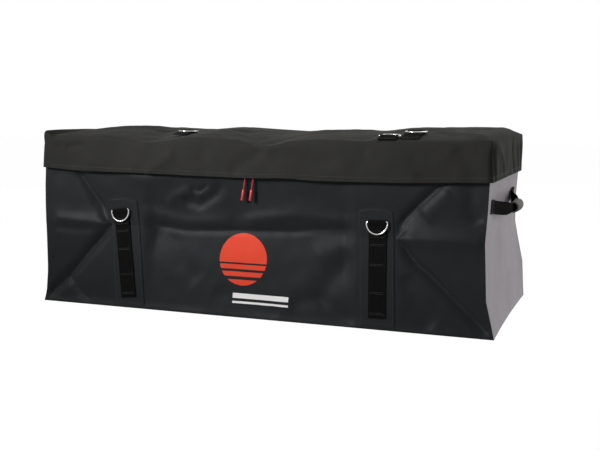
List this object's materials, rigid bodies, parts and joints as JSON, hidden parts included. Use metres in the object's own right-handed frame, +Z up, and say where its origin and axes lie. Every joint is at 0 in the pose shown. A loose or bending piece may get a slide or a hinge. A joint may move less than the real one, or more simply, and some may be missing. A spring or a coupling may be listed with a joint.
{
  "type": "roof cargo bag",
  "caption": "Boxy coated-cloth roof cargo bag with a zipped lid under a rain flap, webbing straps with D-rings and end carry handles.",
  "frame": {"origin": "centre of the base, on the surface the bag stands on", "axes": "+X along the bag's length to its right end, +Y to the back where the lid is hinged, +Z up"},
  "size_m": [1.392, 0.588, 0.5217],
  "materials": {
    "cloth": "semi-matte coated tarpaulin, blue-black",
    "lid_cloth": "semi-matte coated tarpaulin, brown-black",
    "end_cloth": "semi-matte coated tarpaulin, mid grey",
    "webbing": "matte woven polyester webbing, black",
    "zip": "black zip tape and moulded teeth",
    "grip": "matte grey-brown foam tube",
    "steel": "plated steel wire and zip hardware",
    "pull_red": "red cord and moulded red ends"
  },
  "bodies": {
    "bag": {"bottom_panel": "cloth", "front_panel": "cloth", "back_panel": "cloth", "left_end_panel": "end_cloth", "right_end_panel": "end_cloth", "zip_tape_lower": "zip", "zip_chain_lower": "zip", "zip_stop_left": "steel", "zip_stop_right": "steel", "front_left_patch": "cloth", "front_right_patch": "cloth", "back_left_patch": "cloth", "back_right_patch": "cloth", "front_left_strap": "webbing", "front_right_strap": "webbing", "back_left_strap": "webbing", "back_right_strap": "webbing", "left_handle_web": "webbing", "right_handle_web": "webbing", "left_handle_grip": "grip", "right_handle_grip": "grip"},
    "lid": {"lid_cover": "lid_cloth", "lid_inner_band": "end_cloth", "zip_chain_upper": "zip", "zip_tape_upper": "zip", "lid_left_strap": "webbing", "lid_right_strap": "webbing", "lid_edge_strap": "webbing"},
    "front_left_ring": {"front_left_ring": "steel"},
    "front_right_ring": {"front_right_ring": "steel"},
    "back_left_ring": {"back_left_ring": "steel"},
    "back_right_ring": {"back_right_ring": "steel"},
    "lid_left_ring": {"lid_left_ring": "steel"},
    "lid_right_ring": {"lid_right_ring": "steel"},
    "lid_edge_ring": {"lid_edge_ring": "steel"},
    "left_slider": {"left_slider": "steel"},
    "right_slider": {"right_slider": "steel"},
    "left_pull": {"left_pull_tab": "steel", "left_pull_cord": "pull_red", "left_pull_end": "pull_red"},
    "right_pull": {"right_pull_tab": "steel", "right_pull_cord": "pull_red", "right_pull_end": "pull_red"}
  },
  "joints": [
    {"name": "lid_open", "type": "hinge", "parent": "bag", "child": "lid", "pos_m": [0, 0.274, 0.4985], "axis": [-1, 0, 0], "range_deg": [0, 180]},
    {"name": "left_slider_run", "type": "slide", "parent": "bag", "child": "left_slider", "axis": [-1, 0, 0], "range_m": [0, 0.58]},
    {"name": "right_slider_run", "type": "slide", "parent": "bag", "child": "right_slider", "axis": [1, 0, 0], "range_m": [0, 0.58]},
    {"name": "left_pull_swing", "type": "hinge", "parent": "left_slider", "child": "left_pull", "pos_m": [-0.012, -0.28122, 0.416], "axis": [-1, 0, 0], "range_deg": [0, 8]},
    {"name": "right_pull_swing", "type": "hinge", "parent": "right_slider", "child": "right_pull", "pos_m": [0.012, -0.28122, 0.416], "axis": [-1, 0, 0], "range_deg": [0, 8]},
    {"name": "front_left_ring_swing", "type": "hinge", "parent": "bag", "child": "front_left_ring", "pos_m": [-0.414, -0.27795, 0.284], "axis": [-0.9925, 0, -0.1219], "range_deg": [0, 160]},
    {"name": "front_right_ring_swing", "type": "hinge", "parent": "bag", "child": "front_right_ring", "pos_m": [0.36, -0.27795, 0.284], "axis": [-0.9997, 0, -0.0262], "range_deg": [0, 160]},
    {"name": "back_left_ring_swing", "type": "hinge", "parent": "bag", "child": "back_left_ring", "pos_m": [-0.414, 0.27795, 0.284], "axis": [0.9925, 0, 0.1219], "range_deg": [0, 160]},
    {"name": "back_right_ring_swing", "type": "hinge", "parent": "bag", "child": "back_right_ring", "pos_m": [0.36, 0.27795, 0.284], "axis": [0.9997, 0, 0.0262], "range_deg": [0, 160]},
    {"name": "lid_left_ring_swing", "type": "hinge", "parent": "lid", "child": "lid_left_ring", "pos_m": [-0.25, -0.15037, 0.51011], "axis": [-1, 0, 0], "range_deg": [0, 160]},
    {"name": "lid_right_ring_swing", "type": "hinge", "parent": "lid", "child": "lid_right_ring", "pos_m": [0.438, -0.17652, 0.51608], "axis": [-1, 0, 0], "range_deg": [0, 160]},
    {"name": "lid_edge_ring_swing", "type": "hinge", "parent": "lid", "child": "lid_edge_ring", "pos_m": [0.382, -0.24897, 0.50563], "axis": [1, 0, 0], "range_deg": [0, 150]}
  ]
}
